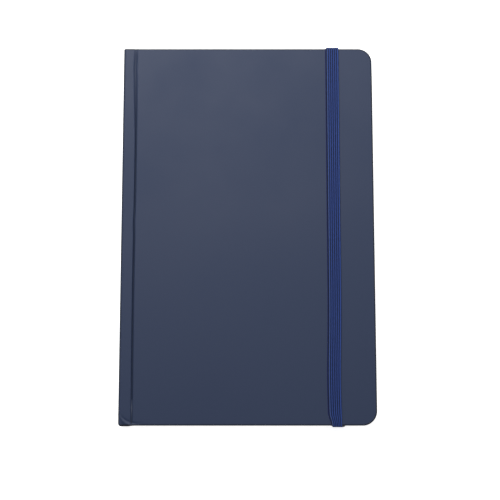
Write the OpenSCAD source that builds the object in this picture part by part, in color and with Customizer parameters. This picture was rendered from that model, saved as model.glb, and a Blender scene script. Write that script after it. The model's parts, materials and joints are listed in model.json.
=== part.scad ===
// Case-bound pilot logbook with rounded fore-edge corners, a pressed hinge groove and an elastic closure band.
// It lies on its back cover. X runs from the spine to the fore-edge, Y from the tail to the head and Z up to
// the front cover. The origin is under the middle of the book, on the face that the book lies on.

/* [Case] */
// Width of a cover, from the spine's face to the fore-edge
cover_w = 142; // [136:1:150]
// Height of a cover, from tail to head
cover_h = 213; // [200:1:225]
// Thickness of the closed book, without the band
book_t = 15; // [14:0.5:18]
// Thickness of a cover board
board_t = 2; // [1.8:0.1:2.2]
// Thickness of the leatherette that covers the boards
skin_t = 0.5; // [0.4:0.05:0.6]
// Radius of a cover's fore-edge corners
corner_r = 8; // [5:0.5:12]
// Distance from the spine's face to the middle of the hinge groove
groove_x = 7.5; // [7:0.1:8.5]
// Depth of the hinge groove
groove_d = 1.2; // [0.8:0.1:1.4]

/* [Text block] */
// How far a cover stands out past the leaves
cover_overhang = 3; // [2:0.5:4]
// Radius of the leaves' fore-edge corners
leaf_corner_r = 6; // [4:0.5:9]
// Thickness of a flyleaf
flyleaf_t = 0.2; // [0.15:0.05:0.3]

/* [Elastic] */
// Width of the elastic
band_w = 7; // [5:0.5:9]
// Thickness of the elastic
band_t = 1; // [0.8:0.1:1.2]
// Distance from the spine's face to the middle of the elastic
band_x = 119.5; // [116:0.5:121]
// Distance from a cover's head or tail to the slit that the elastic goes through
slit_inset = 8.5; // [8:0.5:12]

/* [Hidden] */

navy = [0.25, 0.28, 0.36];
elastic_blue = [0.16, 0.22, 0.40];
paper = [0.94, 0.92, 0.86];
greyboard = [0.60, 0.58, 0.54];
cloth = [0.88, 0.87, 0.82];

// Case
cover_t = skin_t + board_t;
spine_board_t = 1.2;
spine_gap = 0.05;           // room between the spine's skin and the cover skins that lap over its edges
turn_in_w = 14;             // skin turned in over a board's inner face
turn_in_corner_r = 2;
pastedown_t = 0.2;
pastedown_inset = 3;        // turn-in left showing round a pastedown
pastedown_x0 = 3;
groove_floor_w = 1;
groove_mouth_w = 2.4;
board_x0 = groove_x + groove_mouth_w / 2 + 0.3;

// Text block
turning_count = 6;          // signatures that open with the front cover
staying_count = 6;          // signatures that stay on the back cover
sheet_gap = 0.03;           // room between the block's pieces
block_x0 = 2.65;            // folds of the signatures
block_x1 = cover_w - cover_overhang;
block_h = cover_h - 2 * cover_overhang;
block_z0 = cover_t + pastedown_t + 0.05;
middle_z = book_t / 2;
signature_pitch = (middle_z - block_z0 - flyleaf_t - sheet_gap) / staying_count;
signature_t = signature_pitch - sheet_gap;
lining_t = 0.25;
lining_x0 = 2;
lining_h = block_h - 16;
bead_r = 0.8;               // head band and tail band
bead_x = block_x0 + bead_r + 0.2;

// Sewing
thread_r = 0.1;
stitch_l = 12;
stitch_pitch = 34;
stitch_count = 5;

// Elastic
fit = 0.05;                 // room round the elastic in its channel and over the covers' edges
band_x0 = band_x - band_w / 2;
band_x1 = band_x + band_w / 2;
band_z0 = book_t + fit;
leg_y0 = cover_h / 2 + fit;
leg_y1 = leg_y0 + band_t;
slit_y = cover_h / 2 - slit_inset;
end_t = 0.9;                // elastic pressed flat under the back board
end_tab_l = 12;             // glued end, inside the back board
rib_count = 6;
rib_furrow_r = 0.15;

// Box from its lowest corner to its highest corner.
module box(low, high) {
    translate(low) cube(high - low);
}

// Flat sheet from x0 to x1, centred on Y, with rounded corners at x1.
module sheet(x0, x1, h, r, z0, z1) {
    box([x0, -h / 2, z0], [x1 - r, h / 2, z1]);
    box([x1 - r - 1, r - h / 2, z0], [x1, h / 2 - r, z1]);
    for (side = [-1, 1])
        translate([x1 - r, side * (h / 2 - r), z0]) cylinder(r = r, h = z1 - z0, $fn = 64);
}

// Bar along Y with the given outline in X and Z.
module bar(outline, h) {
    translate([0, h / 2, 0]) rotate([90, 0, 0]) linear_extrude(height = h) polygon(outline);
}

// Turns a piece of the back cover into the same piece of the front cover.
module at_front() {
    translate([0, 0, book_t]) mirror([0, 0, 1]) children();
}

// Adds the same piece at the tail to a piece at the head.
module head_and_tail() {
    for (side = [0, 1]) mirror([0, side, 0]) children();
}

// ---- covers, drawn as the back cover ----

// The stretch of a board's inner face that the turn-ins leave open.
module turn_in_window(z0, z1) {
    sheet(-1, cover_w - turn_in_w, cover_h - 2 * turn_in_w, turn_in_corner_r, z0, z1);
}

// Greyboard, pressed lower where the turn-ins lie on it.
module cover_board() {
    h = cover_h - 2 * skin_t;
    sheet(board_x0, cover_w - skin_t, h, corner_r - skin_t, skin_t, cover_t - skin_t);
    intersection() {
        turn_in_window(board_t / 2, cover_t);
        box([board_x0, -cover_h, board_t / 2], [cover_w, cover_h, cover_t]);
    }
}

// Outline of the skin over the hinge: level, down into the groove and up to the board's edge.
hinge_outline = [
    [0, 0],
    [groove_x - groove_mouth_w / 2, 0],
    [groove_x - groove_floor_w / 2, groove_d],
    [groove_x + groove_floor_w / 2, groove_d],
    [groove_x + groove_mouth_w / 2, 0],
    [board_x0 + 1, 0],
    [board_x0 + 1, skin_t],
    [board_x0, skin_t],
    [groove_x + groove_floor_w / 2 + skin_t / 2, groove_d + skin_t],
    [groove_x - groove_floor_w / 2 - skin_t / 2, groove_d + skin_t],
    [groove_x - groove_mouth_w / 2 - skin_t / 2, skin_t],
    [0, skin_t]
];

// Leatherette over a board's outer face, round three edges and in over its inner face.
module cover_skin() {
    bar(hinge_outline, cover_h);
    difference() {
        sheet(board_x0, cover_w, cover_h, corner_r, 0, cover_t);
        sheet(
            board_x0 - 1, cover_w - skin_t, cover_h - 2 * skin_t, corner_r - skin_t,
            skin_t, cover_t - skin_t
        );
        turn_in_window(board_t / 2, cover_t + 1);
    }
}

// Endpaper leaf glued to the inner face of a cover.
module pastedown() {
    sheet(
        pastedown_x0, cover_w - pastedown_inset, cover_h - 2 * pastedown_inset,
        corner_r - pastedown_inset, cover_t, cover_t + pastedown_t
    );
}

// Takes away the room for the elastic's ends: a channel outside, a slit and a pocket inside.
module with_elastic_room() {
    x0 = band_x0 - fit;
    x1 = band_x1 + fit;
    difference() {
        children();
        head_and_tail() {
            box([x0, slit_y - fit, -1], [x1, cover_h, end_t + fit]);
            box([x0, slit_y - fit, -1], [x1, slit_y + band_t + fit, cover_t + 1]);
            box([x0, slit_y - end_tab_l - fit, cover_t - end_t - fit], [x1, slit_y + fit, cover_t + 1]);
        }
    }
}

module back_board() {
    color(greyboard) with_elastic_room() cover_board();
}

module back_skin() {
    color(navy) with_elastic_room() cover_skin();
}

module back_pastedown() {
    color(paper) pastedown();
}

module front_board() {
    color(greyboard) at_front() cover_board();
}

module front_skin() {
    color(navy) at_front() cover_skin();
}

module front_pastedown() {
    color(paper) at_front() pastedown();
}

// ---- spine ----

module spine_board() {
    z0 = skin_t + spine_gap;
    y1 = cover_h / 2 - skin_t;
    color(greyboard) box([skin_t, -y1, z0], [skin_t + spine_board_t, y1, book_t - z0]);
}

// Skin over the spine board's outer face, its head and its tail.
module spine_skin() {
    z0 = skin_t + spine_gap;
    y0 = cover_h / 2 - skin_t;
    color(navy) {
        box([0, -cover_h / 2, z0], [skin_t, cover_h / 2, book_t - z0]);
        head_and_tail()
            box([0, y0, z0], [skin_t + spine_board_t, cover_h / 2, book_t - z0]);
    }
}

// Open-weave cloth glued over the folds of the signatures.
module spine_lining() {
    color(cloth)
        box(
            [lining_x0, -lining_h / 2, block_z0],
            [lining_x0 + lining_t, lining_h / 2, book_t - block_z0]
        );
}

// Striped bead over the head end of the folds.
module head_band() {
    color("white")
        translate([bead_x, block_h / 2 + bead_r + 0.1, block_z0])
            cylinder(r = bead_r, h = book_t - 2 * block_z0, $fn = 32);
}

module tail_band() {
    mirror([0, 1, 0]) head_band();
}

// ---- text block ----

// Height of a signature's lower face. Number 1 lies under the front flyleaf.
function signature_z(number) =
    middle_z + (turning_count - number) * signature_pitch + (number > turning_count ? 0 : sheet_gap);

// Nested folded leaves, with the round of the fold at the spine.
module signature(number) {
    fold_r = signature_t / 2;
    z = signature_z(number);
    color(paper) {
        sheet(block_x0 + fold_r, block_x1, block_h, leaf_corner_r, z, z + signature_t);
        translate([block_x0 + fold_r, block_h / 2, z + fold_r]) rotate([90, 0, 0])
            cylinder(r = fold_r, h = block_h, $fn = 32);
    }
}

// The stitches of one signature that lie outside its fold.
module thread(number) {
    color("white")
        for (i = [0 : stitch_count - 1]) {
            y = (i - (stitch_count - 1) / 2) * stitch_pitch + stitch_l / 2;
            translate([block_x0 - thread_r - 0.02, y, signature_z(number) + signature_t / 2])
                rotate([90, 0, 0]) cylinder(r = thread_r, h = stitch_l, $fn = 16);
        }
}

module flyleaf() {
    color(paper)
        sheet(block_x0, block_x1, block_h, leaf_corner_r, block_z0, block_z0 + flyleaf_t);
}

module back_flyleaf() {
    flyleaf();
}

module front_flyleaf() {
    at_front() flyleaf();
}

// ---- elastic ----

// Stretch over the front cover, with furrows between its ribs.
module elastic_run() {
    color(elastic_blue)
        difference() {
            box([band_x0, -leg_y1, band_z0], [band_x1, leg_y1, band_z0 + band_t]);
            for (i = [1 : rib_count - 1])
                translate([band_x0 + i * band_w / rib_count, leg_y1 + 1, band_z0 + band_t])
                    rotate([90, 0, 0]) cylinder(r = rib_furrow_r, h = 2 * leg_y1 + 2, $fn = 16);
        }
}

// Stretch down past the covers' head.
module elastic_head_leg() {
    color(elastic_blue) box([band_x0, leg_y0, end_t + fit], [band_x1, leg_y1, band_z0]);
}

module elastic_tail_leg() {
    mirror([0, 1, 0]) elastic_head_leg();
}

// Fixed end at the head: along the channel, through the slit and flat inside the board.
module elastic_head_end() {
    color(elastic_blue) {
        box([band_x0, slit_y, 0], [band_x1, leg_y1, end_t]);
        box([band_x0, slit_y, 0], [band_x1, slit_y + band_t, cover_t]);
        box([band_x0, slit_y - end_tab_l, cover_t - end_t], [band_x1, slit_y + band_t, cover_t]);
    }
}

module elastic_tail_end() {
    mirror([0, 1, 0]) elastic_head_end();
}

// Measured from the spine's face above, from the middle of the book here.
module place() {
    translate([-cover_w / 2, 0, 0]) children();
}

place() back_board();
place() back_skin();
place() back_pastedown();
place() back_flyleaf();
place() front_board();
place() front_skin();
place() front_pastedown();
place() front_flyleaf();
place() spine_board();
place() spine_skin();
place() spine_lining();
place() head_band();
place() tail_band();
for (number = [1 : turning_count + staying_count]) {
    digits = str(number < 10 ? "0" : "", number);
    place() signature(number);
    place() thread(number);
}
place() elastic_run();
place() elastic_head_leg();
place() elastic_tail_leg();
place() elastic_head_end();
place() elastic_tail_end();
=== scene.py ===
# A case-bound pilot logbook, closed with its elastic. It lies on its back cover, with the spine at the left.
import json
import math

import bpy
import numpy as np
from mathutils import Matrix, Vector


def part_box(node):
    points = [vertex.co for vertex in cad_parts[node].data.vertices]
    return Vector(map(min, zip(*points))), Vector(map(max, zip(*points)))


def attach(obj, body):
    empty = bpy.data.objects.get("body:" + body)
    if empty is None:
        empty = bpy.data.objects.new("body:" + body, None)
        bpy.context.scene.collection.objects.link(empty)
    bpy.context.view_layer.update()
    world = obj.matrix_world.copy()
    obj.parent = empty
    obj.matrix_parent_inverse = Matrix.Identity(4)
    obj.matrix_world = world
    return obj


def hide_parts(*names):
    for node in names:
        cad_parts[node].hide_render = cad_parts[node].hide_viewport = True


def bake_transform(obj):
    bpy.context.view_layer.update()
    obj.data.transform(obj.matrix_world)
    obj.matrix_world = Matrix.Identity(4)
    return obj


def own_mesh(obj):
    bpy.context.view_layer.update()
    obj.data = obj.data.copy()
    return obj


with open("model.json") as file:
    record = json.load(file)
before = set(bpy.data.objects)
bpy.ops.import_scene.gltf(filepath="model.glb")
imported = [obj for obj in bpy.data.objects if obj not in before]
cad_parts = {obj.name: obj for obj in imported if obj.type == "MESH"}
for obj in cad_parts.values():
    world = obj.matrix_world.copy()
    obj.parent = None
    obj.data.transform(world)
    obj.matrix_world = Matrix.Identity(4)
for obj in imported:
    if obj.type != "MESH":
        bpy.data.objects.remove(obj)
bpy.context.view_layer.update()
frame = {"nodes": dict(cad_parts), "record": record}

scene = bpy.context.scene
MM = 0.001

# ---- camera ----
# The book is looked at from above, leaning a little from the tail, with the middle of its front cover in
# view.
front_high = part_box("front_skin")[1]
elevation = math.radians(83.0)
distance = 0.5305
aim = Vector((0.0013, -0.0098, front_high.z))

camera = bpy.data.objects.new("camera", bpy.data.cameras.new("camera"))
camera.data.lens = 68.4
camera.data.sensor_width = 36.0
camera.data.clip_start = 0.01
camera.location = aim + distance * Vector((0.0, -math.cos(elevation), math.sin(elevation)))
camera.rotation_euler = (aim - camera.location).to_track_quat("-Z", "Y").to_euler()
scene.collection.objects.link(camera)
scene.camera = camera

# ---- light ----
# White all round, with a large soft light beyond the head, so that the covers are lighter there, and a weak
# one from the fore-edge. The world is brighter to the camera than to the book.
scene.view_settings.view_transform = "Standard"
world = bpy.data.worlds.new("studio")
scene.world = world
world.use_nodes = True
surround = world.node_tree.nodes["Background"]
surround.inputs["Color"].default_value = (1.0, 1.0, 1.0, 1.0)
seen = world.node_tree.nodes.new("ShaderNodeLightPath")
strength = world.node_tree.nodes.new("ShaderNodeMapRange")
strength.inputs["To Min"].default_value = 0.28
strength.inputs["To Max"].default_value = 1.0
world.node_tree.links.new(seen.outputs["Is Camera Ray"], strength.inputs["Value"])
world.node_tree.links.new(strength.outputs["Result"], surround.inputs["Strength"])


def soft_light(name, place, target, size, power):
    lamp = bpy.data.lights.new(name, "AREA")
    lamp.shape = "DISK"
    lamp.size = size
    lamp.energy = power
    light = bpy.data.objects.new(name, lamp)
    light.location = place
    light.rotation_euler = (Vector(target) - Vector(place)).to_track_quat("-Z", "Y").to_euler()
    scene.collection.objects.link(light)


soft_light("key", (-0.12, 0.5, 0.7), (0.0, 0.03, 0.0), 0.45, 7.5)
soft_light("fill", (0.6, -0.4, 0.9), (0.0, 0.0, 0.0), 0.9, 1.0)

# ---- floor ----
# A plain white table top that glows a little, so that it stays white right up to the book.
floor_mesh = bpy.data.meshes.new("floor")
reach = 3.0
floor_mesh.from_pydata(
    [(-reach, -reach, 0), (reach, -reach, 0), (reach, reach, 0), (-reach, reach, 0)], [], [(0, 1, 2, 3)]
)
floor = bpy.data.objects.new("floor", floor_mesh)
scene.collection.objects.link(floor)
white = bpy.data.materials.new("white table")
white.use_nodes = True
white_shader = white.node_tree.nodes["Principled BSDF"]
white_shader.inputs["Base Color"].default_value = (0.9, 0.9, 0.9, 1.0)
white_shader.inputs["Roughness"].default_value = 0.9
white_shader.inputs["Specular IOR Level"].default_value = 0.2
white_shader.inputs["Emission Color"].default_value = (1.0, 1.0, 1.0, 1.0)
white_shader.inputs["Emission Strength"].default_value = 0.75
floor_mesh.materials.append(white)

# ---- boards ----
# Grey millboard, cut for the two covers and the spine and hidden inside the leatherette. The CAD solids have
# the right shape already, with the channel, slit and pocket for the elastic in the back board.


def new_finish(name, color, roughness, specular=0.5):
    material = bpy.data.materials.new(name)
    material.use_nodes = True
    shader = material.node_tree.nodes["Principled BSDF"]
    shader.inputs["Base Color"].default_value = (*color, 1.0)
    shader.inputs["Roughness"].default_value = roughness
    shader.inputs["Specular IOR Level"].default_value = specular
    return material, material.node_tree, shader


def add_node(tree, kind, values=None, **settings):
    node = tree.nodes.new("ShaderNode" + kind)
    for key, value in settings.items():
        setattr(node, key, value)
    for key, value in (values or {}).items():
        node.inputs[key].default_value = value
    return node


def wire(tree, *pairs):
    for source, target in pairs:
        tree.links.new(source, target)


def new_group(name, inputs, outputs):
    tree = bpy.data.node_groups.new(name, "ShaderNodeTree")
    for socket, kind, value in inputs:
        made = tree.interface.new_socket(socket, in_out="INPUT", socket_type="NodeSocket" + kind)
        if value is not None:
            made.default_value = value
    for socket, kind in outputs:
        tree.interface.new_socket(socket, in_out="OUTPUT", socket_type="NodeSocket" + kind)
    return tree, tree.nodes.new("NodeGroupInput"), tree.nodes.new("NodeGroupOutput")


def use_group(tree, group, values):
    node = tree.nodes.new("ShaderNodeGroup")
    node.node_tree = group
    for key, value in values.items():
        node.inputs[key].default_value = value
    return node


def mottle_group():
    """Two colours mixed by soft cloudy patches and fine flecks, with a height for a bump."""
    tree, given, made = new_group(
        "mottle",
        [
            ("Color A", "Color", (0.5, 0.5, 0.5, 1.0)),
            ("Color B", "Color", (0.4, 0.4, 0.4, 1.0)),
            ("Patch Scale", "Float", 60.0),
            ("Fleck Scale", "Float", 2500.0),
            ("Fleck Share", "Float", 0.4),
        ],
        [("Color", "Color"), ("Height", "Float")],
    )
    place = add_node(tree, "TexCoord")
    patches = add_node(tree, "TexNoise", {"Detail": 3.0, "Roughness": 0.6})
    flecks = add_node(tree, "TexNoise", {"Detail": 2.0, "Roughness": 0.5})
    share = add_node(tree, "Mix", data_type="FLOAT")
    blend = add_node(tree, "Mix", data_type="RGBA")
    wire(
        tree,
        (place.outputs["Object"], patches.inputs["Vector"]),
        (place.outputs["Object"], flecks.inputs["Vector"]),
        (given.outputs["Patch Scale"], patches.inputs["Scale"]),
        (given.outputs["Fleck Scale"], flecks.inputs["Scale"]),
        (given.outputs["Fleck Share"], share.inputs["Factor"]),
        (patches.outputs["Fac"], share.inputs["A"]),
        (flecks.outputs["Fac"], share.inputs["B"]),
        (share.outputs["Result"], blend.inputs["Factor"]),
        (given.outputs["Color A"], blend.inputs["A"]),
        (given.outputs["Color B"], blend.inputs["B"]),
        (blend.outputs["Result"], made.inputs["Color"]),
        (flecks.outputs["Fac"], made.inputs["Height"]),
    )
    return tree


mottle = mottle_group()


def mottled_finish(name, color_a, color_b, roughness, fleck_scale, bump, specular=0.3):
    """A matte material with patches and flecks, for board, paper and cloth."""
    material, tree, shader = new_finish(name, color_a, roughness, specular)
    spots = use_group(
        tree,
        mottle,
        {"Color A": (*color_a, 1.0), "Color B": (*color_b, 1.0), "Fleck Scale": fleck_scale},
    )
    relief = add_node(tree, "Bump", {"Strength": 0.5, "Distance": bump})
    wire(
        tree,
        (spots.outputs["Color"], shader.inputs["Base Color"]),
        (spots.outputs["Height"], relief.inputs["Height"]),
        (relief.outputs["Normal"], shader.inputs["Normal"]),
    )
    return material


def set_finish(thing, material):
    thing.data.materials.clear()
    thing.data.materials.append(material)


greyboard = mottled_finish("greyboard", (0.33, 0.31, 0.27), (0.24, 0.22, 0.19), 0.9, 1800.0, 0.05 * MM)
for name in ("back_board", "front_board", "spine_board"):
    set_finish(frame["nodes"][name], greyboard)

# ---- covers ----
# Navy leatherette glued over each board, pressed into the hinge groove beside the spine, wrapped round the
# head, fore-edge and tail and turned in over the board's inner face. The sheet ends on the spine's face.
back_low, back_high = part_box("back_skin")
spine_face = back_low.x
book_t = front_high.z
cover_w = back_high.x - back_low.x
half_h = (back_high.y - back_low.y) / 2
cover_t = back_high.z - back_low.z
skin_t = 0.45 * MM
corner_r = 8.0 * MM
board_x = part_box("back_board")[0].x - spine_face
edge_r = 0.8 * MM
spine_edge_r = 1.4 * MM
turn_in_w = 14.0 * MM
turn_in_corner_r = 2.0 * MM
groove_x = 7.5 * MM
groove_d = 1.25 * MM
elastic_low, elastic_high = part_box("elastic_run")
elastic_mid = (elastic_low.x + elastic_high.x) / 2 - spine_face
head_skew = 0.45 * MM
tail_skew = 2.0 * MM
channel_d = 1.0 * MM
channel_l = 8.4 * MM
channel_half_w = 3.7 * MM


def smooth(value, low, high):
    part = np.clip((value - low) / (high - low), 0.0, 1.0)
    return part * part * (3.0 - 2.0 * part)


def bell(value, middle, width):
    return np.exp(-(((value - middle) / width) ** 2))


def past_fold(x, y):
    """How far a point lies past the fold of the tail turn-in, which sweeps from spine to tail edge."""
    fold_up = 4.9 * MM * np.exp(-(x - 1.5 * MM) / (4.4 * MM))
    return 0.8 * (fold_up - y - half_h)


def groove(x, y, is_front):
    """How deep the hinge groove is. The front one has two small kinks, is softer towards the head and runs
    out at the fold in the tail."""
    middle = groove_x - 0.05 * MM + 0.1 * MM * y / half_h
    half_w, depth = 0.68 * MM, groove_d
    if is_front:
        kinks = 0.35 * MM * bell(y, 94.5 * MM, 3.0 * MM) + 0.3 * MM * bell(y, 6.0 * MM, 3.5 * MM)
        middle = middle - kinks + 0.12 * MM * np.sin(y / (23.0 * MM))
        towards_head = smooth(y, 50.0 * MM, 95.0 * MM)
        middle = middle - 0.45 * MM * towards_head
        half_w = half_w + 0.75 * MM * towards_head
        depth = depth * (1.0 - 0.5 * towards_head)
        depth = depth * (1.0 - 0.85 * smooth(past_fold(x, y), -0.6 * MM, 0.4 * MM))
    across = np.clip(np.abs(x - middle) / half_w, 0.0, 1.0)
    depth = depth * (1.0 - 0.5 * smooth(np.abs(y), half_h - 6.0 * MM, half_h - 0.5 * MM))
    return depth * (1.0 - across) ** 1.3


def dents(x, y):
    """The front cover's own unevenness: the crease and ridge of that fold, and the fall past it."""
    across = past_fold(x, y)
    near = smooth(13.0 * MM - x, 0.0, 4.0 * MM) * smooth(9.0 * MM - y - half_h, 0.0, 3.0 * MM)
    crease = -0.38 * MM * bell(across, -0.35 * MM, 0.45 * MM)
    ridge = 0.30 * MM * bell(across, 0.55 * MM, 0.5 * MM) * smooth(9.0 * MM - x, 0.0, 3.0 * MM)
    fall = -0.5 * MM * smooth(across, 0.8 * MM, 3.2 * MM)
    over_board = smooth(x, 0.9 * MM, 2.8 * MM)
    return near * (ridge + over_board * (crease + fall))


def strip_thickness(x):
    """Two layers of leatherette beside the board, the whole cover where the board is."""
    return 2.2 * skin_t + (cover_t - 2.2 * skin_t) * smooth(x, board_x - 0.9 * MM, board_x)


def tail_corner(x, y):
    """How far the skin's end at the tail is rounded off at the spine, or stands out beside it."""
    round_r = 1.7 * MM
    left = np.clip(round_r - x, 0.0, round_r)
    cut = round_r - np.sqrt(round_r**2 - left**2)
    proud = 0.3 * MM * (1.0 - smooth(x, 5.0 * MM, 9.0 * MM))
    return (cut - proud) * smooth(-y, half_h - 6.0 * MM, half_h)


def cover_rows():
    turn = np.linspace(0, math.pi / 2, 19)
    arc = half_h - corner_r + corner_r * np.sin(turn)
    middle = np.linspace(-(half_h - corner_r), half_h - corner_r, 72)
    return np.concatenate([-arc[::-1], middle[1:-1], arc])


def fore_edge(y):
    """The fore-edge's distance from the spine's face along a row."""
    over = np.clip(np.abs(y) - (half_h - corner_r), 0.0, corner_r)
    return cover_w - corner_r + np.sqrt(np.maximum(corner_r**2 - over**2, 0.0))


def inside(x, y):
    """Distance in from the head, tail or fore-edge, round the corners."""
    over_x = x - (cover_w - corner_r)
    over_y = np.abs(y) - (half_h - corner_r)
    corner = corner_r - np.hypot(np.maximum(over_x, 0), np.maximum(over_y, 0))
    straight = np.minimum(half_h - np.abs(y), cover_w - x)
    return np.where((over_x > 0) & (over_y > 0), corner, straight)


def edge_drop(depth, radius):
    """How far a rounded edge has fallen away, depth in from it."""
    left = np.clip(radius - depth, 0.0, radius)
    return radius - np.sqrt(np.maximum(radius**2 - left**2, 0.0))


# How dark the painted shade at the bottom of the hinge groove is, as a share of full darkening.
groove_shade = 0.6
straight_x = 12.0 * MM


def cover_sheet(name, is_front):
    """One cover's leatherette: rows along the book from the spine's face to the fore-edge, then the rings
    that go round the edge and in over the board. Columns nearer the spine than straight_x don't follow the
    corners."""
    y_rows = cover_rows()
    bend = np.radians(np.linspace(0, 90, 7))
    flat = np.concatenate(
        [
            np.linspace(spine_edge_r, board_x + 0.6 * MM, 34)[1:],
            np.linspace(board_x + 3.0 * MM, elastic_mid - 7.0 * MM, 28),
            np.linspace(elastic_mid - 5.0 * MM, elastic_mid + 7.0 * MM, 31),
        ]
    )
    rim = corner_r * (1.0 - np.sin(np.linspace(0.25, math.pi / 2, 16)))
    points, columns = [], len(bend) + len(flat) + len(rim)
    for y in y_rows:
        far = fore_edge(y)
        squeeze = (far - rim[0] - spine_edge_r) / (cover_w - rim[0] - spine_edge_r)
        along = np.where(flat < straight_x, flat, spine_edge_r + (flat - spine_edge_r) * squeeze)
        xs = np.concatenate([np.full(len(bend), 0.0), along, far - rim])
        xs[: len(bend)] = spine_edge_r * (1 - np.cos(bend))
        radius = np.minimum(edge_r, strip_thickness(xs) / 2)
        zs = edge_drop(inside(xs, np.full(columns, y)), radius)
        zs = zs + groove(xs, y, is_front)
        zs[: len(bend)] += spine_edge_r * (1 - np.sin(bend))
        if is_front:
            zs = zs - dents(xs, y)
        else:
            channel = smooth(np.abs(y), half_h - channel_l - 0.8 * MM, half_h - channel_l)
            skew = head_skew if y > 0 else tail_skew * smooth(-y, half_h - 8.0 * MM, half_h)
            beside = np.abs(xs - elastic_mid - skew)
            wall = smooth(beside, channel_half_w, channel_half_w + 0.5 * MM)
            zs = np.maximum(zs, channel_d * channel * (1 - wall))
        ys = y + (tail_corner(xs, np.full(columns, y)) if is_front else 0.0 * xs)
        points += list(zip(xs, ys, zs))
    rows = len(y_rows)
    faces = [
        (r * columns + c, r * columns + c + 1, (r + 1) * columns + c + 1, (r + 1) * columns + c)
        for r in range(rows - 1)
        for c in range(columns - 1)
    ]
    # The edge that is wrapped: along the tail, up the fore-edge and back along the head.
    first, last = len(bend) - 1, columns - 1
    loop = list(range(first, columns))
    loop += [r * columns + last for r in range(1, rows)]
    loop += [(rows - 1) * columns + c for c in range(last - 1, first - 1, -1)]
    rings = [loop]
    curl = np.radians(np.linspace(0, 90, 6))
    steps = [("curl", a) for a in curl] + [("flat", 0.35), ("flat", 1.0)]
    for kind, amount in steps:
        ring = []
        for index in loop:
            x, y, _ = points[index]
            thick = float(strip_thickness(x))
            radius = min(edge_r, thick / 2)
            over_x, over_y = x - (cover_w - corner_r), min(abs(y), half_h) - (half_h - corner_r)
            side = 1 if y > 0 else -1
            if over_x > 1e-9 and over_y > 1e-9:
                away = Vector((over_x, side * over_y)).normalized()
            elif over_x > over_y:
                away = Vector((1.0, 0.0))
            else:
                away = Vector((0.0, float(side)))
            # The whole turn-in keeps the dip of its edge. Further in the groove is deeper than that, so
            # its bottom meets the turn-in there.
            dip = float(groove(x, y, is_front))
            if kind == "curl":
                depth = radius * (1 - math.cos(amount))
                level = dip + thick - radius * (1 - math.sin(amount))
                place = Vector((x, y)) - away * depth
            else:
                start = Vector((x, y)) - away * radius
                in_x = cover_w - turn_in_w - turn_in_corner_r
                in_y = half_h - turn_in_w - turn_in_corner_r
                corner = Vector((in_x, side * in_y))
                if over_x > 1e-9 and over_y > 1e-9:
                    end = corner + turn_in_corner_r * away
                elif over_x > over_y:
                    end = Vector((cover_w - turn_in_w, max(min(y, in_y), -in_y)))
                else:
                    end = Vector((min(x, corner.x), side * (half_h - turn_in_w)))
                place = start.lerp(end, amount)
                level = dip + thick
            ring.append(len(points))
            points.append((place.x, place.y, level))
        rings.append(ring)
    for one, two in zip(rings[:-1], rings[1:]):
        faces += [(one[i + 1], one[i], two[i], two[i + 1]) for i in range(len(loop) - 1)]
    xs, ys, _ = np.array(points).T
    depth = np.minimum(inside(xs, ys), xs)
    # Painted shade in the hinge groove, darker where the groove is deeper.
    groove_painted_shade = groove_shade * groove(xs, ys, is_front) / groove_d
    if is_front:
        points = [(x, y, book_t - z) for x, y, z in points]
    else:
        faces = [tuple(reversed(face)) for face in faces]
    return sheet_object(name, points, faces, depth, groove_painted_shade)


def sheet_object(name, points, faces, depth, groove_painted_shade=0.0):
    """A leatherette sheet with real thickness, measured from the spine's face. Its outer side faces out.
    The attribute rim holds painted shade, how much to darken: fully at the sheet's outer edges, where depth
    is 0, not at all a millimetre in, and in the groove by the groove's painted shade passed in last."""
    mesh = bpy.data.meshes.new(name)
    mesh.from_pydata([(x + spine_face, y, z) for x, y, z in points], [], faces)
    mesh.shade_smooth()
    dark = np.maximum(1.0 - smooth(depth, 0.3 * MM, 1.1 * MM), groove_painted_shade)
    rim = mesh.attributes.new("rim", "FLOAT", "POINT")
    rim.data.foreach_set("value", dark.astype(np.float32))
    thing = bpy.data.objects.new(name, mesh)
    scene.collection.objects.link(thing)
    thickness = thing.modifiers.new("thickness", "SOLIDIFY")
    thickness.thickness = skin_t
    thickness.offset = -1.0
    return thing


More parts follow.
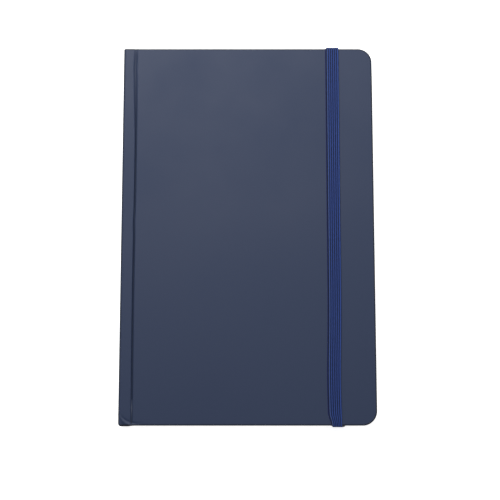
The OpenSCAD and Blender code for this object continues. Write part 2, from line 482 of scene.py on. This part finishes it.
def grain_group():
    """Fine pebbled grain with shallow pores and soft cloudy patches of colour."""
    tree, given, made = new_group(
        "leather grain",
        [
            ("Color", "Color", (0.1, 0.1, 0.1, 1.0)),
            ("Patch Color", "Color", (0.1, 0.1, 0.1, 1.0)),
            ("Pebble Scale", "Float", 1600.0),
            ("Patch Scale", "Float", 14.0),
        ],
        [("Color", "Color"), ("Roughness", "Float"), ("Height", "Float")],
    )
    place = add_node(tree, "TexCoord")
    pebbles = add_node(tree, "TexVoronoi", {"Randomness": 0.9}, feature="SMOOTH_F1")
    pores = add_node(tree, "TexNoise", {"Scale": 3800.0, "Detail": 2.0})
    patches = add_node(tree, "TexNoise", {"Detail": 4.0, "Roughness": 0.55})
    patch_share = add_node(tree, "MapRange", {"From Min": 0.35, "From Max": 0.65})
    tint = add_node(tree, "Mix", data_type="RGBA")
    pore_dark = add_node(
        tree, "MapRange", {"From Min": 0.3, "From Max": 0.7, "To Min": 0.88, "To Max": 1.1}
    )
    shade = add_node(tree, "VectorMath", operation="SCALE")
    rough = add_node(
        tree, "MapRange", {"From Min": 0.3, "From Max": 0.7, "To Min": 0.56, "To Max": 0.68}
    )
    height = add_node(tree, "Math", {1: 0.45}, operation="MULTIPLY_ADD")
    wire(
        tree,
        (place.outputs["Object"], pebbles.inputs["Vector"]),
        (place.outputs["Object"], pores.inputs["Vector"]),
        (place.outputs["Object"], patches.inputs["Vector"]),
        (given.outputs["Pebble Scale"], pebbles.inputs["Scale"]),
        (given.outputs["Patch Scale"], patches.inputs["Scale"]),
        (patches.outputs["Fac"], patch_share.inputs["Value"]),
        (patch_share.outputs["Result"], tint.inputs["Factor"]),
        (given.outputs["Color"], tint.inputs["A"]),
        (given.outputs["Patch Color"], tint.inputs["B"]),
        (pores.outputs["Fac"], pore_dark.inputs["Value"]),
        (tint.outputs["Result"], shade.inputs[0]),
        (pore_dark.outputs["Result"], shade.inputs["Scale"]),
        (patches.outputs["Fac"], rough.inputs["Value"]),
        (pores.outputs["Fac"], height.inputs[0]),
        (pebbles.outputs["Distance"], height.inputs[2]),
        (shade.outputs["Vector"], made.inputs["Color"]),
        (rough.outputs["Result"], made.inputs["Roughness"]),
        (height.outputs["Value"], made.inputs["Height"]),
    )
    return tree


navy = (0.0150, 0.0275, 0.0685)
navy_patch = (0.0175, 0.0305, 0.0720)
leatherette, tree, shader = new_finish("navy leatherette", navy, 0.6, 0.4)
grain = use_group(tree, grain_group(), {"Color": (*navy, 1.0), "Patch Color": (*navy_patch, 1.0)})
relief = add_node(tree, "Bump", {"Strength": 0.35, "Distance": 0.05 * MM})
# Painted shade: the rim attribute darkens the sheets at their edges and in the hinge groove, down to a fifth
# of their colour.
rim = add_node(tree, "Attribute", attribute_name="rim")
rim_shade = add_node(tree, "MapRange", {"To Min": 1.0, "To Max": 0.2})
shaded = add_node(tree, "VectorMath", operation="SCALE")
wire(
    tree,
    (rim.outputs["Fac"], rim_shade.inputs["Value"]),
    (grain.outputs["Color"], shaded.inputs[0]),
    (rim_shade.outputs["Result"], shaded.inputs["Scale"]),
    (shaded.outputs["Vector"], shader.inputs["Base Color"]),
    (grain.outputs["Roughness"], shader.inputs["Roughness"]),
    (grain.outputs["Height"], relief.inputs["Height"]),
    (relief.outputs["Normal"], shader.inputs["Normal"]),
)

front_leather = cover_sheet("front_cover_leatherette", True)
back_leather = cover_sheet("back_cover_leatherette", False)
for thing in (front_leather, back_leather):
    set_finish(thing, leatherette)
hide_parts("front_skin")
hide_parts("back_skin")
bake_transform(front_leather)
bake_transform(back_leather)

# ---- spine ----
# The same leatherette over the spine board, turned in over its head and tail. Its long edges run under the
# rounded edges of the cover sheets, where the real skin is one piece.
spine_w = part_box("spine_board")[1].x - spine_face
profile = [(0.75 * MM, spine_edge_r - 0.55 * MM), (skin_t + 0.1 * MM, spine_edge_r - 0.35 * MM)]
profile += [(0.0, z) for z in np.linspace(spine_edge_r, book_t - spine_edge_r, 9)]
profile += [(x, book_t - z) for x, z in profile[1::-1]]
turn = np.radians(np.linspace(90, 0, 7))
wrap_r = 0.8 * MM
end_y = half_h - 0.4 * MM
end_path = [(wrap_r * (1 - math.cos(a)), end_y - wrap_r * (1 - math.sin(a))) for a in turn[::-1]]
end_path += [(spine_w - 0.1 * MM, end_y), (spine_w + 0.05 * MM, end_y - 0.15 * MM)]
end_path += [(spine_w + 0.05 * MM, half_h - turn_in_w)]
path = [(x, -y) for x, y in reversed(end_path)]
path += [(0.0, y) for y in np.linspace(-half_h + 6 * MM, half_h - 6 * MM, 30)]
path += end_path
points = [(max(x, x_in), y, z) for x, y in path for x_in, z in profile]
count = len(profile)
faces = [
    (r * count + c, r * count + c + 1, (r + 1) * count + c + 1, (r + 1) * count + c)
    for r in range(len(path) - 1)
    for c in range(count - 1)
]
_, ys, zs = np.array(points).T
# Painted shade: the spine sheet is darkened along its seams with the cover sheets and at its head and tail.
seam_depth = np.minimum(zs, book_t - zs) - spine_edge_r
edge_depth = np.minimum(seam_depth, half_h - np.abs(ys))
spine_leather = sheet_object("spine_leatherette", points, faces, edge_depth)
set_finish(spine_leather, leatherette)
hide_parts("spine_skin")
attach(spine_leather, "spine")

# ---- endpapers ----
# A heavier cream sheet folded once at each end of the text block. One half is pasted down inside the cover,
# over the turn-ins, and the other is the flyleaf.
endpaper = mottled_finish("endpaper", (0.80, 0.77, 0.69), (0.72, 0.69, 0.60), 0.85, 3000.0, 0.02 * MM)
for name in ("back_pastedown", "front_pastedown", "back_flyleaf", "front_flyleaf"):
    set_finish(frame["nodes"][name], endpaper)

# ---- signatures ----
# Twelve sections of cream writing paper. Each is four sheets folded into one another, so it has eight leaves,
# and the round of the outer fold is at the spine. The leaves' corners are rounded after sewing.
leaf_low, leaf_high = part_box("signature_07")
leaf_half_h = (leaf_high.y - leaf_low.y) / 2
leaf_corner_r = 6.0 * MM
sheets_per_signature = 4
paper_share = 0.86
turns = np.linspace(0, math.pi / 2, 9)
trim = np.random.default_rng(12)


def folded_sheet(low_z, high_z, thickness, fold_x, far_x, half_height):
    """One folded sheet: two leaves joined by a round fold, with its corners cut round at the fore-edge."""
    radius = (high_z - low_z) / 2
    middle = (high_z + low_z) / 2
    bend = np.linspace(math.pi / 2, 3 * math.pi / 2, 9)
    arc = half_height - leaf_corner_r + leaf_corner_r * np.sin(turns)
    rows = np.concatenate([-arc[::-1], arc])
    points, faces = [], []
    for y in rows:
        over = max(abs(y) - (half_height - leaf_corner_r), 0.0)
        reach_x = far_x - leaf_corner_r + math.sqrt(max(leaf_corner_r**2 - over**2, 0.0))
        outer = [(fold_x + radius * math.cos(a), middle + radius * math.sin(a)) for a in bend]
        inner_r = radius - thickness
        inner = [(fold_x + inner_r * math.cos(a), middle + inner_r * math.sin(a)) for a in bend]
        outline = [(reach_x, high_z)] + outer + [(reach_x, low_z), (reach_x, low_z + thickness)]
        outline += inner[::-1] + [(reach_x, high_z - thickness)]
        points += [(x, y, z) for x, z in outline]
    count = len(outline)
    for r in range(len(rows) - 1):
        for c in range(count):
            d = (c + 1) % count
            faces.append((r * count + c, (r + 1) * count + c, (r + 1) * count + d, r * count + d))
    # Each end is closed leaf by leaf and round the fold.
    half = len(bend) + 1
    for start, flip in ((0, False), ((len(rows) - 1) * count, True)):
        for c in range(half):
            one, two = c, c + 1
            quad = (start + one, start + two, start + count - 1 - two, start + count - 1 - one)
            faces.append(tuple(reversed(quad)) if flip else quad)
    return points, faces


def signature(name):
    """The nested folded sheets of one signature, trimmed a hair unevenly."""
    low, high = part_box(name)
    pitch = (high.z - low.z) / (2 * sheets_per_signature)
    points, faces = [], []
    for number in range(sheets_per_signature):
        inset = number * pitch
        gap = pitch * (1 - paper_share) / 2
        part, sides = folded_sheet(
            low.z + inset + gap,
            high.z - inset - gap,
            pitch * paper_share,
            low.x + (high.z - low.z) / 2,
            high.x - trim.uniform(0.0, 0.12 * MM),
            leaf_half_h - trim.uniform(0.0, 0.10 * MM),
        )
        faces += [tuple(i + len(points) for i in side) for side in sides]
        points += part
    mesh = bpy.data.meshes.new(name + "_leaves")
    mesh.from_pydata(points, [], faces)
    thing = bpy.data.objects.new(name + "_leaves", mesh)
    scene.collection.objects.link(thing)
    return thing


column_shares = (0.0, 0.14, 0.34, 0.5, 0.62, 0.74, 0.86, 1.0)
heading_h = 8.0 * MM


def ruling_group():
    """Ledger ruling as a mask: lines across the page, a head line and a few columns."""
    tree, given, made = new_group(
        "ledger ruling",
        [
            ("Row Pitch", "Float", 0.0075),
            ("Line Width", "Float", 0.00022),
            ("Head", "Float", 0.084),
            ("Foot", "Float", -0.092),
            ("Left", "Float", -0.058),
            ("Right", "Float", 0.062),
        ],
        [("Row", "Float"), ("Column", "Float")],
    )
    place = add_node(tree, "TexCoord")
    split = add_node(tree, "SeparateXYZ")
    wire(tree, (place.outputs["Object"], split.inputs["Vector"]))

    def math_node(operation, first, second):
        node = add_node(tree, "Math", operation=operation)
        for index, value in enumerate((first, second)):
            if isinstance(value, (int, float)):
                node.inputs[index].default_value = value
            elif value is not None:
                tree.links.new(value, node.inputs[index])
        return node.outputs["Value"]

    x, y = split.outputs["X"], split.outputs["Y"]
    width = given.outputs["Line Width"]
    half_width = math_node("MULTIPLY", width, 0.5)
    down = math_node("SUBTRACT", y, given.outputs["Head"])
    wrapped = math_node("PINGPONG", down, math_node("MULTIPLY", given.outputs["Row Pitch"], 0.5))
    rows = math_node("LESS_THAN", wrapped, half_width)
    below_head = math_node("LESS_THAN", y, math_node("ADD", given.outputs["Head"], width))
    above_foot = math_node("GREATER_THAN", y, given.outputs["Foot"])
    from_left = math_node("GREATER_THAN", x, given.outputs["Left"])
    to_right = math_node("LESS_THAN", x, given.outputs["Right"])
    tall_enough = math_node("MULTIPLY", below_head, above_foot)
    within = math_node("MULTIPLY", tall_enough, math_node("MULTIPLY", from_left, to_right))
    row_mask = math_node("MULTIPLY", rows, within)
    column = None
    for share in column_shares:
        span = math_node("SUBTRACT", given.outputs["Right"], given.outputs["Left"])
        at = math_node("ADD", given.outputs["Left"], math_node("MULTIPLY", span, share))
        away = math_node("ABSOLUTE", math_node("SUBTRACT", x, at), None)
        near = math_node("LESS_THAN", away, half_width)
        column = near if column is None else math_node("MAXIMUM", column, near)
    under_heading = math_node("LESS_THAN", y, math_node("ADD", given.outputs["Head"], heading_h))
    tall = math_node("MULTIPLY", under_heading, above_foot)
    wire(
        tree,
        (row_mask, made.inputs["Row"]),
        (math_node("MULTIPLY", column, tall), made.inputs["Column"]),
    )
    return tree


cream = (0.83, 0.81, 0.73)
cream_dark = (0.77, 0.74, 0.65)
leaf_paper, tree, shader = new_finish("ruled paper", cream, 0.85, 0.3)
paper_colors = {"Color A": (*cream, 1.0), "Color B": (*cream_dark, 1.0)}
fibres = use_group(tree, mottle, {**paper_colors, "Fleck Scale": 2600.0})
ruling = use_group(tree, ruling_group(), {})
facing = add_node(tree, "NewGeometry")
facing_parts = add_node(tree, "SeparateXYZ")
is_page = add_node(tree, "Math", operation="ABSOLUTE")
page_only = add_node(tree, "Math", {1: 0.9}, operation="GREATER_THAN")
row_ink = add_node(tree, "Mix", {"B": (0.42, 0.55, 0.66, 1.0)}, data_type="RGBA")
column_ink = add_node(tree, "Mix", {"B": (0.62, 0.32, 0.30, 1.0)}, data_type="RGBA")
row_share = add_node(tree, "Math", operation="MULTIPLY")
column_share = add_node(tree, "Math", operation="MULTIPLY")
relief = add_node(tree, "Bump", {"Strength": 0.3, "Distance": 0.02 * MM})
wire(
    tree,
    (facing.outputs["True Normal"], facing_parts.inputs["Vector"]),
    (facing_parts.outputs["Z"], is_page.inputs[0]),
    (is_page.outputs["Value"], page_only.inputs[0]),
    (ruling.outputs["Row"], row_share.inputs[0]),
    (page_only.outputs["Value"], row_share.inputs[1]),
    (ruling.outputs["Column"], column_share.inputs[0]),
    (page_only.outputs["Value"], column_share.inputs[1]),
    (fibres.outputs["Color"], row_ink.inputs["A"]),
    (row_share.outputs["Value"], row_ink.inputs["Factor"]),
    (row_ink.outputs["Result"], column_ink.inputs["A"]),
    (column_share.outputs["Value"], column_ink.inputs["Factor"]),
    (column_ink.outputs["Result"], shader.inputs["Base Color"]),
    (fibres.outputs["Height"], relief.inputs["Height"]),
    (relief.outputs["Normal"], shader.inputs["Normal"]),
)

bodies = frame["record"]["behaviour"]["bodies"]
body_of_node = {node: body for body, nodes in bodies.items() for node in nodes}
signature_count = 12
for number in range(1, signature_count + 1):
    name = f"signature_{number:02d}"
    leaves = signature(name)
    set_finish(leaves, leaf_paper)
    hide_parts(name)
    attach(leaves, body_of_node[name])

# ---- sewing ----
# Waxed linen thread, one row of stitches along the outer fold of each signature.
linen = mottled_finish("linen thread", (0.82, 0.80, 0.74), (0.62, 0.60, 0.54), 0.7, 9000.0, 0.03 * MM)
for number in range(1, signature_count + 1):
    set_finish(frame["nodes"][f"thread_{number:02d}"], linen)

# ---- lining ----
# Open-weave cotton mull glued over the folds, so it follows their rounds. It is attached to the back cover
# and moves with it as the book opens; a real lining folds with the leaves instead.
lining_low, lining_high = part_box("spine_lining")
steps = 8 * signature_count
thickness = 0.22 * MM
points, faces = [], []
for step in range(steps + 1):
    share = step / steps
    z = lining_low.z + share * (lining_high.z - lining_low.z)
    round_x = 0.12 * MM * abs(math.sin(math.pi * signature_count * share))
    for x in (lining_high.x - round_x - thickness, lining_high.x - round_x):
        points += [(x, lining_low.y, z), (x, lining_high.y, z)]
for step in range(steps):
    i = 4 * step
    faces += [(i, i + 4, i + 5, i + 1), (i + 2, i + 3, i + 7, i + 6)]
    faces += [(i, i + 2, i + 6, i + 4), (i + 1, i + 5, i + 7, i + 3)]
faces += [(0, 1, 3, 2), (4 * steps, 4 * steps + 2, 4 * steps + 3, 4 * steps + 1)]
mesh = bpy.data.meshes.new("mull_lining")
mesh.from_pydata(points, [], faces)
lining = bpy.data.objects.new("mull_lining", mesh)
scene.collection.objects.link(lining)


def weave_group():
    """Threads crossing at right angles, as a height and a share of shade between them."""
    tree, given, made = new_group(
        "plain weave",
        [("Across Scale", "Float", 300.0), ("Along Scale", "Float", 300.0)],
        [("Height", "Float"), ("Shade", "Float")],
    )
    place = add_node(tree, "TexCoord")
    split = add_node(tree, "SeparateXYZ")
    joined = []
    for axis, scale in (("Z", "Across Scale"), ("Y", "Along Scale")):
        turns_per_metre = add_node(tree, "Math", operation="MULTIPLY")
        wave = add_node(tree, "Math", operation="SINE")
        wire(
            tree,
            (split.outputs[axis], turns_per_metre.inputs[0]),
            (given.outputs[scale], turns_per_metre.inputs[1]),
            (turns_per_metre.outputs["Value"], wave.inputs[0]),
        )
        joined.append(wave.outputs["Value"])
    crossing = add_node(tree, "Math", operation="MULTIPLY")
    shade = add_node(
        tree, "MapRange", {"From Min": -1.0, "From Max": 1.0, "To Min": 0.6, "To Max": 1.0}
    )
    wire(
        tree,
        (place.outputs["Object"], split.inputs["Vector"]),
        (joined[0], crossing.inputs[0]),
        (joined[1], crossing.inputs[1]),
        (crossing.outputs["Value"], made.inputs["Height"]),
        (crossing.outputs["Value"], shade.inputs["Value"]),
        (shade.outputs["Result"], made.inputs["Shade"]),
    )
    return tree


weave = weave_group()
cotton = (0.74, 0.72, 0.64)
mull, tree, shader = new_finish("cotton mull", cotton, 0.9, 0.2)
threads = use_group(tree, weave, {"Across Scale": 6000.0, "Along Scale": 6000.0})
shaded = add_node(tree, "VectorMath", {0: cotton}, operation="SCALE")
relief = add_node(tree, "Bump", {"Strength": 0.6, "Distance": 0.1 * MM})
wire(
    tree,
    (threads.outputs["Shade"], shaded.inputs["Scale"]),
    (shaded.outputs["Vector"], shader.inputs["Base Color"]),
    (threads.outputs["Height"], relief.inputs["Height"]),
    (relief.outputs["Normal"], shader.inputs["Normal"]),
)
set_finish(lining, mull)
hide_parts("spine_lining")
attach(lining, "back_cover")
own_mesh(lining)

# ---- head and tail bands ----
# Silk wound round a cord, navy and cream by turns, and glued over the ends of the folds.
wraps = 16
rings = 6 * wraps
around = 14


def wound_band(name, node):
    """A cord with thread wound round it, in the place of a node, with its ends drawn in."""
    low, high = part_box(node)
    middle_x, middle_y = (low.x + high.x) / 2, (low.y + high.y) / 2
    radius = (high.x - low.x) / 2
    points, faces = [], []
    for ring in range(rings + 1):
        share = ring / rings
        z = low.z + share * (high.z - low.z)
        end = min(share, 1 - share) * rings / 4
        swell = 0.88 + 0.12 * abs(math.sin(math.pi * wraps * share))
        reach = radius * swell * min(1.0, 0.35 + 0.65 * end)
        for k in range(around):
            angle = 2 * math.pi * k / around
            points.append((middle_x + reach * math.cos(angle), middle_y + reach * math.sin(angle), z))
    for ring in range(rings):
        for k in range(around):
            a, b = ring * around + k, ring * around + (k + 1) % around
            faces.append((a, b, b + around, a + around))
    faces.append(tuple(reversed(range(around))))
    faces.append(tuple(range(rings * around, (rings + 1) * around)))
    mesh = bpy.data.meshes.new(name)
    mesh.from_pydata(points, [], faces)
    mesh.shade_smooth()
    thing = bpy.data.objects.new(name, mesh)
    scene.collection.objects.link(thing)
    return thing


silk_cream = (0.78, 0.76, 0.70)
silk_navy = (0.035, 0.05, 0.11)
silk, tree, shader = new_finish("wound silk", silk_cream, 0.45, 0.5)
place = add_node(tree, "TexCoord")
split = add_node(tree, "SeparateXYZ")
band_low, band_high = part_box("head_band")
wraps_per_metre = wraps / (band_high.z - band_low.z)
turns_up = add_node(tree, "Math", {1: math.pi * wraps_per_metre}, operation="MULTIPLY")
turn_wave = add_node(tree, "Math", operation="SINE")
dark_turn = add_node(tree, "Math", {1: 0.0}, operation="GREATER_THAN")
stripe = add_node(
    tree, "Mix", {"A": (*silk_cream, 1.0), "B": (*silk_navy, 1.0)}, data_type="RGBA"
)
fine = add_node(tree, "TexNoise", {"Scale": 9000.0})
relief = add_node(tree, "Bump", {"Strength": 0.4, "Distance": 0.03 * MM})
wire(
    tree,
    (place.outputs["Object"], split.inputs["Vector"]),
    (split.outputs["Z"], turns_up.inputs[0]),
    (turns_up.outputs["Value"], turn_wave.inputs[0]),
    (turn_wave.outputs["Value"], dark_turn.inputs[0]),
    (dark_turn.outputs["Value"], stripe.inputs["Factor"]),
    (stripe.outputs["Result"], shader.inputs["Base Color"]),
    (place.outputs["Object"], fine.inputs["Vector"]),
    (fine.outputs["Fac"], relief.inputs["Height"]),
    (relief.outputs["Normal"], shader.inputs["Normal"]),
)
for name, node in (("head_band_winding", "head_band"), ("tail_band_winding", "tail_band")):
    winding = wound_band(name, node)
    set_finish(winding, silk)
    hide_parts(node)
    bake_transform(winding)

# ---- elastic ----
# Flat navy elastic with six woven ribs. It runs over the front cover near the fore-edge, down past the head
# and the tail and into slits in the back cover, where its ends are glued. At the tail it pulls to one side.
band_w = elastic_high.x - elastic_low.x
band_t = 0.85 * MM
run_z = elastic_low.z - 0.03 * MM
under_z = 0.9 * MM
leg_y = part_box("elastic_head_leg")[0].y
bend_r = 0.8 * MM
slit_y = half_h - 8.3 * MM
ribs = 6
points_per_rib = 7
drift_y = -82 * MM


def band_path():
    """The elastic's inner side from the tail slit to the head slit: where it is, and which way is out."""
    corner = np.radians(np.linspace(0, 90, 8))
    bend_y, low_bend_z, high_bend_z = leg_y - bend_r, under_z + bend_r, run_z - bend_r
    side = [((slit_y - 0.5 * MM, under_z + 1.2 * MM), (-0.8, -0.6))]
    side += [((slit_y, under_z + 0.35 * MM), (-0.5, -0.87))]
    along = np.linspace(slit_y + 0.6 * MM, bend_y - 0.3 * MM, 7)
    side += [((y, under_z), (0.0, -1.0)) for y in along]
    for a in corner:
        out_y, out_z = math.sin(a), -math.cos(a)
        side.append(((bend_y + bend_r * out_y, low_bend_z + bend_r * out_z), (out_y, out_z)))
    side += [((leg_y, z), (1.0, 0.0)) for z in np.linspace(low_bend_z, high_bend_z, 16)[1:-1]]
    for a in corner:
        out_y, out_z = math.cos(a), math.sin(a)
        side.append(((bend_y + bend_r * out_y, high_bend_z + bend_r * out_z), (out_y, out_z)))
    tail = [((-y, z), (-out_y, out_z)) for (y, z), (out_y, out_z) in side]
    run = [((y, run_z), (0.0, 1.0)) for y in np.linspace(-bend_y, bend_y, 180)[1:-1]]
    return tail + run + side[::-1]


def band_sideways(y, z):
    """How far the elastic has wandered towards the fore-edge."""
    if y > 0:
        return head_skew * float(smooth(run_z - z, 0.0, run_z))
    drift = -0.7 * MM * float(bell(y, drift_y, 26 * MM)) * float(z > run_z - bend_r)
    return drift + tail_skew * float(smooth(run_z - z, -0.5 * MM, 7.0 * MM))


def band_squeeze(y, z):
    """How much narrower the elastic is drawn on its spine side, where it goes over the covers' tail."""
    on_top = 1.0 - float(smooth(run_z - z, 0.5 * MM, 5.0 * MM))
    return 1.5 * MM * on_top * float(smooth(-y, half_h - 7.0 * MM, half_h))


across = np.linspace(0.0, 1.0, ribs * points_per_rib + 1)
rib_height = 0.62 + 0.38 * np.abs(np.sin(math.pi * ribs * across)) ** 0.55
# A low strip beside the rib on the spine side is coloured dark: a painted shadow of the elastic's edge on the
# cover.
painted_shadow_strip = np.array([-0.1, -0.085, -0.015])
across = np.concatenate([painted_shadow_strip, across])
rib_height = np.concatenate([[0.05, 0.2, 0.25], rib_height])
points, faces = [], []
path = band_path()
count = 2 * len(across)
for (y, z), (out_y, out_z) in path:
    width = band_w - band_squeeze(y, z)
    right = spine_face + elastic_mid + band_w / 2 + band_sideways(y, z)
    points += [
        (right - (1.0 - u) * width, y + out_y * h * band_t, z + out_z * h * band_t)
        for u, h in zip(across, rib_height)
    ]
    points += [(right - (1.0 - u) * width, y, z) for u in across[::-1]]
for r in range(len(path) - 1):
    for c in range(count):
        d = (c + 1) % count
        faces.append((r * count + c, r * count + d, (r + 1) * count + d, (r + 1) * count + c))
faces.append(tuple(reversed(range(count))))
faces.append(tuple(range((len(path) - 1) * count, len(path) * count)))
mesh = bpy.data.meshes.new("elastic_band")
mesh.from_pydata(points, [], faces)
mesh.shade_smooth()
share_across = mesh.attributes.new("across", "FLOAT", "POINT")
there_and_back = np.concatenate([across, across[::-1]])
share_across.data.foreach_set("value", np.tile(there_and_back, len(path)).astype(np.float32))
elastic = bpy.data.objects.new("elastic_band", mesh)
scene.collection.objects.link(elastic)

ink_blue = (0.016, 0.050, 0.235)
elastic_cloth, tree, shader = new_finish("navy elastic", ink_blue, 0.7, 0.3)
shader.inputs["Sheen Weight"].default_value = 0.2
shader.inputs["Sheen Roughness"].default_value = 0.4
place = add_node(tree, "Attribute", attribute_name="across")
# Painted highlight and shade on the ribs: the crests are painted lighter than the elastic's colour and the
# furrows between them much darker.
rib_place = add_node(tree, "Math", {1: math.pi * ribs}, operation="MULTIPLY")
rib_wave = add_node(tree, "Math", operation="SINE")
rib_size = add_node(tree, "Math", operation="ABSOLUTE")
rib_crest = add_node(tree, "Math", {1: 2.0}, operation="POWER")
rib_shade = add_node(tree, "MapRange", {"To Min": 0.12, "To Max": 1.55})
# The tint across the elastic, with painted light in it: a painted shadow on the low dark strip at the spine
# side, a painted highlight on the edge beside it, the ribs and a slightly lighter far edge.
tint_and_painted_light_ramp = add_node(tree, "ValToRGB")
painted_shadow_stop, painted_highlight_stop = tint_and_painted_light_ramp.color_ramp.elements
# The first stop is the painted shadow, the second the painted highlight.
painted_shadow_stop.position, painted_shadow_stop.color = 0.085, (0.08, 0.12, 0.28, 1.0)
painted_highlight_stop.position, painted_highlight_stop.color = 0.10, (3.2, 1.7, 0.85, 1.0)
for stop, level in ((0.19, 0.72), (0.88, 0.72), (0.93, 0.9)):
    tint_and_painted_light_ramp.color_ramp.elements.new(stop).color = (level, level, level, 1.0)
edge_place = add_node(tree, "MapRange", {"From Min": float(painted_shadow_strip[0]), "From Max": 1.0})
threads = use_group(tree, weave, {"Across Scale": 9000.0, "Along Scale": 9000.0})
thread_shade = add_node(tree, "Math", operation="MULTIPLY")
shaded = add_node(tree, "VectorMath", {0: ink_blue}, operation="SCALE")
painted_light_tinted = add_node(tree, "VectorMath", operation="MULTIPLY")
relief = add_node(tree, "Bump", {"Strength": 0.4, "Distance": 0.08 * MM})
wire(
    tree,
    (place.outputs["Fac"], rib_place.inputs[0]),
    (rib_place.outputs["Value"], rib_wave.inputs[0]),
    (rib_wave.outputs["Value"], rib_size.inputs[0]),
    (rib_size.outputs["Value"], rib_crest.inputs[0]),
    (rib_crest.outputs["Value"], rib_shade.inputs["Value"]),
    (place.outputs["Fac"], edge_place.inputs["Value"]),
    (edge_place.outputs["Result"], tint_and_painted_light_ramp.inputs["Fac"]),
    (rib_shade.outputs["Result"], thread_shade.inputs[0]),
    (threads.outputs["Shade"], thread_shade.inputs[1]),
    (thread_shade.outputs["Value"], shaded.inputs["Scale"]),
    (shaded.outputs["Vector"], painted_light_tinted.inputs[0]),
    (tint_and_painted_light_ramp.outputs["Color"], painted_light_tinted.inputs[1]),
    (painted_light_tinted.outputs["Vector"], shader.inputs["Base Color"]),
    (threads.outputs["Height"], relief.inputs["Height"]),
    (relief.outputs["Normal"], shader.inputs["Normal"]),
)
set_finish(elastic, elastic_cloth)
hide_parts("elastic_run", "elastic_head_leg", "elastic_tail_leg")
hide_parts("elastic_head_end", "elastic_tail_end")
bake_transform(elastic)
